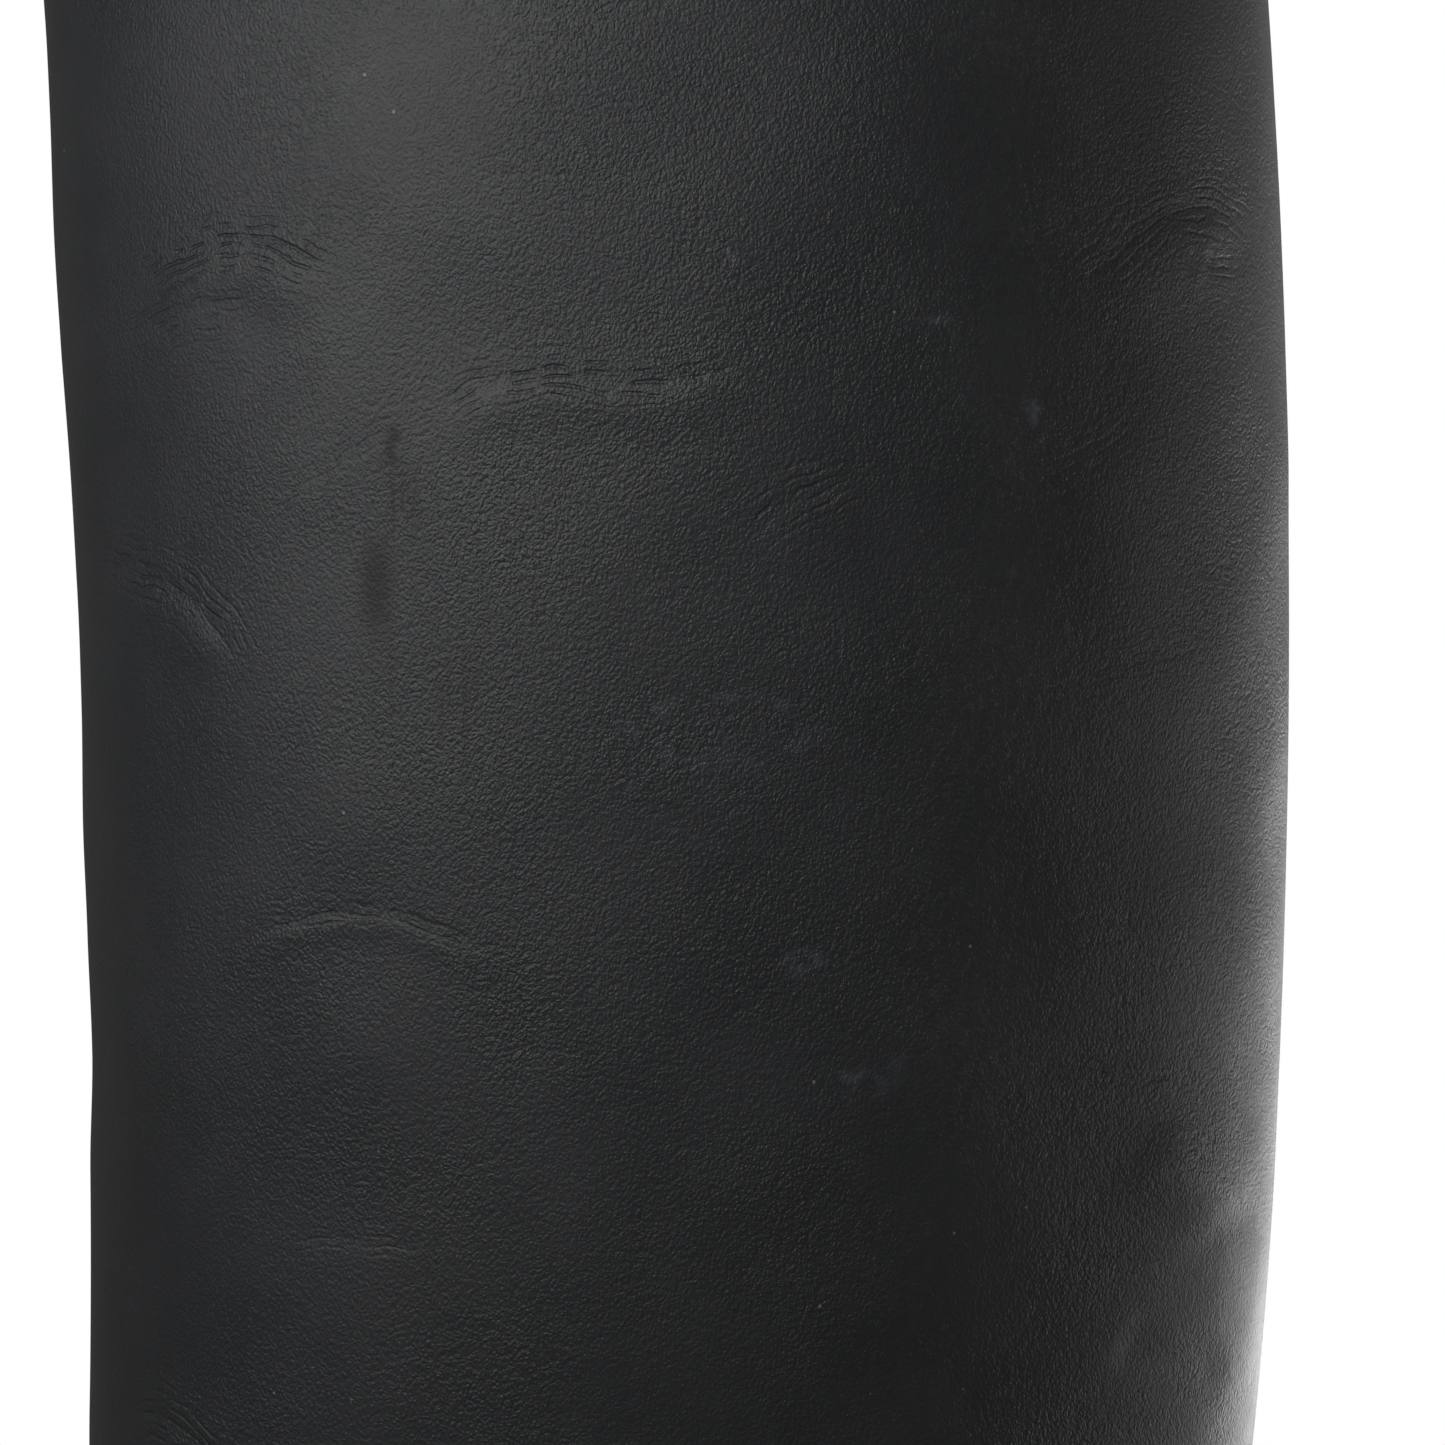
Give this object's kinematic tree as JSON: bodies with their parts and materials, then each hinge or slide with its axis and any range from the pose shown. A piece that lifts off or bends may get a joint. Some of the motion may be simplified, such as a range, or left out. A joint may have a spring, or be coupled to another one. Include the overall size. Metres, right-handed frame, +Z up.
{
  "type": "tall leather boot",
  "caption": "Tall smooth-leather riding boot for the left foot, with an inner zip, a welted sole and a low stacked heel.",
  "frame": {"origin": "centre of the footprint's box, on the floor", "axes": "+Z up the leg, -X to the toe, -Y to the outer side of the leg, +Y to the inner side with the zip"},
  "size_m": [0.278, 0.1118, 0.4376],
  "materials": {
    "upper_leather": "smooth black calf, semi-matt",
    "lining_leather": "natural tan lining leather",
    "sole_leather": "dark dressed sole leather",
    "stiffener": "resin-filled canvas",
    "insole_board": "pressed leather board",
    "cork": "bound cork",
    "shank_steel": "plain spring steel",
    "heel_rubber": "matt",
    "nail_brass": "plain",
    "zip_tape": "herringbone tape",
    "zip_metal": "polished nickel"
  },
  "bodies": {
    "boot": {"vamp": "upper_leather", "shaft_outer_panel": "upper_leather", "shaft_inner_panel": "upper_leather", "counter_cover": "upper_leather", "back_strip": "upper_leather", "top_binding": "upper_leather", "toe_puff": "stiffener", "heel_counter": "stiffener", "foot_lining": "lining_leather", "shaft_lining": "lining_leather", "zip_tape_front": "zip_tape", "zip_tape_back": "zip_tape", "zip_teeth_front": "zip_metal", "zip_teeth_back": "zip_metal", "zip_top_stop_front": "zip_metal", "zip_top_stop_back": "zip_metal", "zip_bottom_stop": "zip_metal", "zip_guard": "upper_leather", "insole_board": "insole_board", "sock_liner": "lining_leather", "welt": "sole_leather", "cork_filler": "cork", "shank": "shank_steel", "outsole": "sole_leather", "heel_lift_1": "sole_leather", "heel_lift_2": "sole_leather", "heel_lift_3": "sole_leather", "heel_lift_4": "sole_leather", "heel_top_piece": "heel_rubber", "heel_nail_1": "nail_brass", "heel_nail_2": "nail_brass", "heel_nail_3": "nail_brass", "heel_nail_4": "nail_brass", "heel_nail_5": "nail_brass"},
    "slider": {"zip_slider": "zip_metal"},
    "pull": {"zip_pull": "zip_metal"}
  },
  "joints": [
    {"name": "zip_travel", "type": "slide", "parent": "boot", "child": "slider", "axis": [0, -0.0423, -0.9991], "range_m": [0, 0.311]},
    {"name": "pull_swing", "type": "hinge", "parent": "slider", "child": "pull", "pos_m": [0.06781, 0.05275, 0.41227], "axis": [1, 0, 0], "range_deg": [0, 165]}
  ]
}
